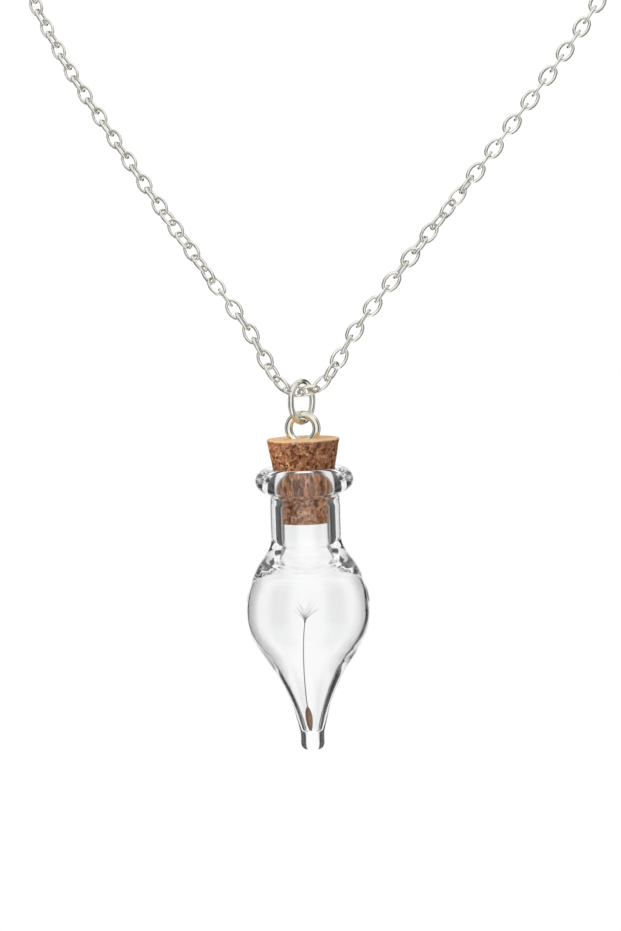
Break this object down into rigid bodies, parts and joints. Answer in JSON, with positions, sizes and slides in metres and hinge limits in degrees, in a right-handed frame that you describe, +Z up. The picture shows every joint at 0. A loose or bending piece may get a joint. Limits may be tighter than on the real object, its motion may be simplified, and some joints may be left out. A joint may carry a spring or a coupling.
{
  "type": "bottle pendant necklace",
  "caption": "Corked glass bottle pendant with a seed inside, hung by a screw eye and jump ring on a whole cable-chain necklace.",
  "frame": {"origin": "the nape of the neck, at the middle of the necklace's back, where the clasp lies", "axes": "+Z up along the wearer, -Y to the wearer's front where the pendant hangs, +X to the right as seen from the front"},
  "size_m": [0.122, 0.1303, 0.1689],
  "materials": {
    "silver_metal": "polished",
    "cork": "matte",
    "clear_glass": "polished",
    "seed": "matte"
  },
  "bodies": {
    "chain": {"chain_left": "silver_metal", "chain_right": "silver_metal", "clasp": "silver_metal"},
    "ring": {"jump_ring": "silver_metal"},
    "stopper": {"screw_eye": "silver_metal", "cork_stopper": "cork"},
    "bottle": {"glass_bottle": "clear_glass", "dandelion_seed": "seed"}
  },
  "joints": [
    {"name": "ring_swing", "type": "hinge", "parent": "chain", "child": "ring", "pos_m": [0, -0.12008, -0.11398], "axis": [1, 0, 0], "range_deg": [-25, 25]},
    {"name": "drop_swing", "type": "hinge", "parent": "ring", "child": "stopper", "pos_m": [0, -0.12008, -0.11823], "axis": [0.342, 0.9397, 0], "range_deg": [-60, 60]},
    {"name": "cork_pull", "type": "slide", "parent": "stopper", "child": "bottle", "axis": [0, 0, -1], "range_m": [0, 0.012]}
  ]
}
